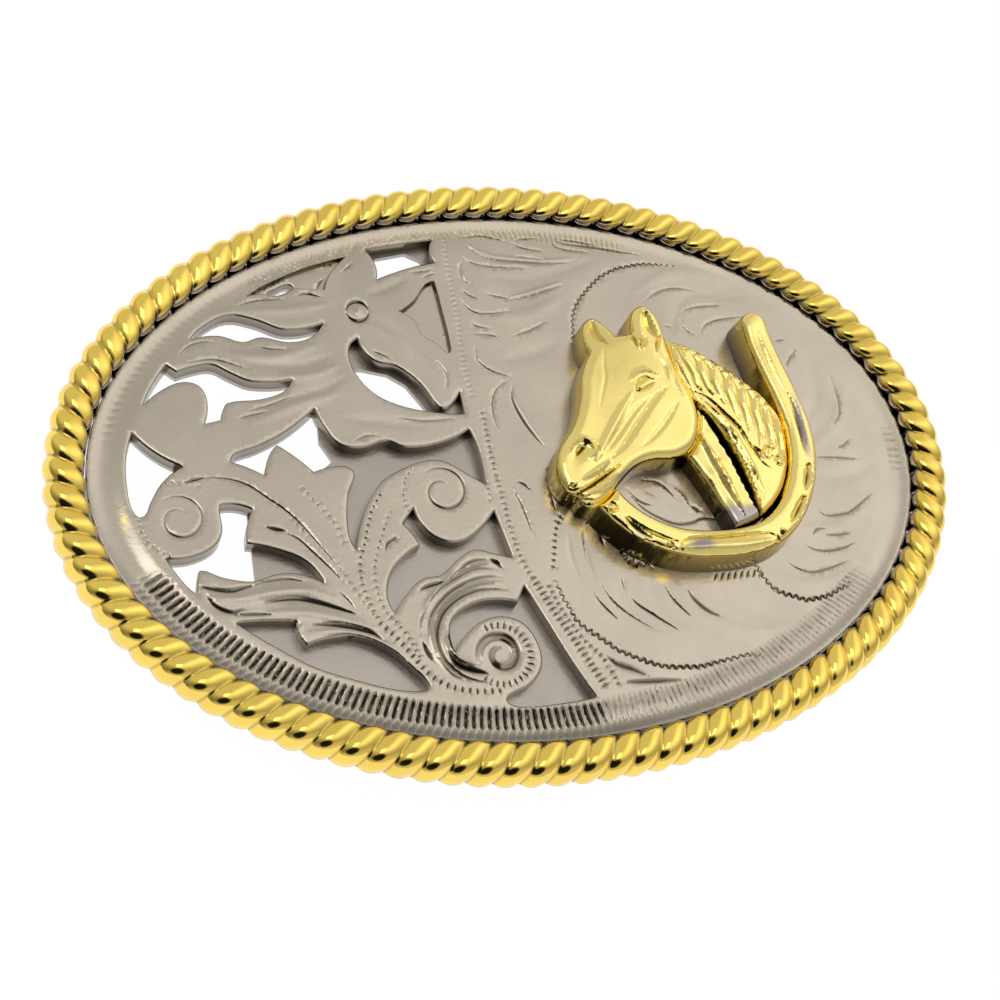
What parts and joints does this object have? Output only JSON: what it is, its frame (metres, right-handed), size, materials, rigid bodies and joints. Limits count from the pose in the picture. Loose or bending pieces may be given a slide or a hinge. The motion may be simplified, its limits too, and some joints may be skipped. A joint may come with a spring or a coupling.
{
  "type": "western trophy belt buckle",
  "caption": "Oval western belt buckle with a rope border, a pierced scroll face and a horse-and-horseshoe figure; a swinging bail holds the strap and a hook closes it.",
  "frame": {"origin": "centre of the bounding box on the plane that the hook and the bail rest on", "axes": "+Z out of the face, +X along the long axis towards the bail, +Y up across the strap"},
  "size_m": [0.095, 0.0666, 0.0148],
  "materials": {
    "nickel_plate": "polished nickel, warm grey",
    "gold_rope": "polished gold plate",
    "gold_figure": "polished gold plate",
    "back_nickel": "satin nickel",
    "wire": "drawn nickel-plated wire"
  },
  "bodies": {
    "buckle": {"front_plate": "nickel_plate", "backing_plate": "nickel_plate", "rope_border": "gold_rope", "horse_head": "gold_figure", "horse_neck": "gold_figure", "horseshoe": "gold_figure", "figure_rivets": "back_nickel", "bail_ear_upper": "back_nickel", "bail_ear_lower": "back_nickel", "hook_base": "back_nickel", "hook": "wire"},
    "bail": {"bail": "wire"}
  },
  "joints": [
    {"name": "bail_swing", "type": "hinge", "parent": "buckle", "child": "bail", "pos_m": [0.016, 0, 0.00286], "axis": [0, 1, 0], "range_deg": [-13, 184]}
  ]
}
